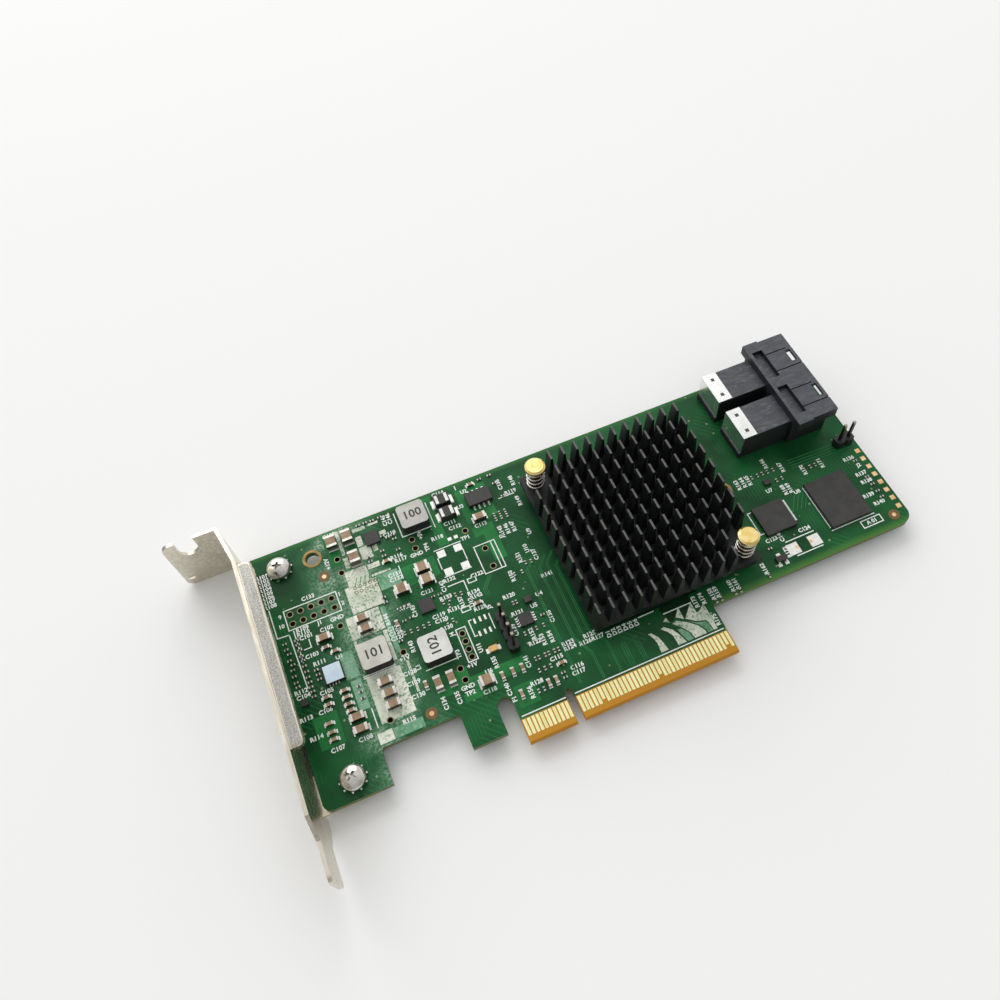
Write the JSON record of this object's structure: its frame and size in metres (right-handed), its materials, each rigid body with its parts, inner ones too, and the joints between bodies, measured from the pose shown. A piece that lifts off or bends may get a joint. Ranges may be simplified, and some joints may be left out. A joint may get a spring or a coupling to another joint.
{
  "type": "host bus adapter",
  "caption": "Low-profile expansion card that links a computer to its drives: folded steel bracket, finned heat sink on sprung push pins, edge contacts and internal cable ports.",
  "frame": {"origin": "centre line of the key slot, at the lower edge of the contact tab, on the component face of the board", "axes": "+X along the card away from the bracket, +Y up the card away from the slot it plugs into, +Z out of the component face"},
  "size_m": [0.1677, 0.0835, 0.0184],
  "materials": {
    "board_green": "green solder mask over glass laminate, white print, soft gloss",
    "contact_gold": "gold plate, bright",
    "bracket_steel": "nickel plate over steel sheet, satin",
    "screw_steel": "nickel plate, bright",
    "sink_black": "black anodised aluminium, satin",
    "pin_brass": "turned brass, satin",
    "spring_steel": "drawn wire, satin",
    "controller_package": "moulded package, matt",
    "thermal_grey": "soft filled sheet, matt",
    "port_black": "moulded black plastic, fine grain",
    "clip_metal": "thin bright plated sheet",
    "header_black": "moulded black plastic",
    "header_pin_metal": "plated square wire",
    "inductor_grey": "pressed iron powder, grey, matt",
    "chip_black": "moulded black epoxy, matt",
    "stage_mirror": "polished bare die, pale blue",
    "lead_tin": "tin plate, satin",
    "capacitor_brown": "fired ceramic, brown, satin",
    "capacitor_end": "tinned end caps, satin",
    "indicator_amber": "amber moulded lens"
  },
  "bodies": {
    "root": {"circuit_board": "board_green", "edge_contacts_component_side": "contact_gold", "edge_contacts_rear_side": "contact_gold", "low_profile_bracket": "bracket_steel", "upper_bracket_screw": "screw_steel", "lower_bracket_screw": "screw_steel", "upper_lock_washer": "screw_steel", "lower_lock_washer": "screw_steel", "controller_chip": "controller_package", "thermal_pad": "thermal_grey", "heat_sink": "sink_black", "rear_push_pin": "pin_brass", "front_push_pin": "pin_brass", "rear_push_pin_spring": "spring_steel", "front_push_pin_spring": "spring_steel", "double_port_housing": "port_black", "upper_contact_wafer_block": "port_black", "lower_contact_wafer_block": "port_black", "upper_wafer_clip": "clip_metal", "lower_wafer_clip": "clip_metal", "port_contacts": "contact_gold", "four_pin_header_base": "header_black", "four_pin_header_pins": "header_pin_metal", "two_pin_header_base": "header_black", "two_pin_header_pins": "header_pin_metal", "upper_power_inductor": "inductor_grey", "left_power_inductor": "inductor_grey", "right_power_inductor": "inductor_grey", "memory_chip": "chip_black", "logic_chip": "chip_black", "power_stage_chip": "stage_mirror", "upper_regulator_chip": "chip_black", "lower_regulator_chip": "chip_black", "eight_lead_chip": "chip_black", "sensor_chip": "chip_black", "upper_rectifier": "chip_black", "lower_rectifier": "chip_black", "transistor": "chip_black", "middle_small_chip": "chip_black", "right_small_chip": "chip_black", "left_small_chip": "chip_black", "amber_indicator": "indicator_amber", "eight_lead_chip_feet": "lead_tin", "sensor_chip_feet": "lead_tin", "transistor_feet": "lead_tin", "rectifier_terminals": "lead_tin", "large_capacitor_bodies": "capacitor_brown", "medium_capacitor_bodies": "capacitor_brown", "small_capacitor_bodies": "capacitor_brown", "large_capacitor_ends": "capacitor_end", "medium_capacitor_ends": "capacitor_end", "small_capacitor_ends": "capacitor_end"}
  },
  "joints": []
}
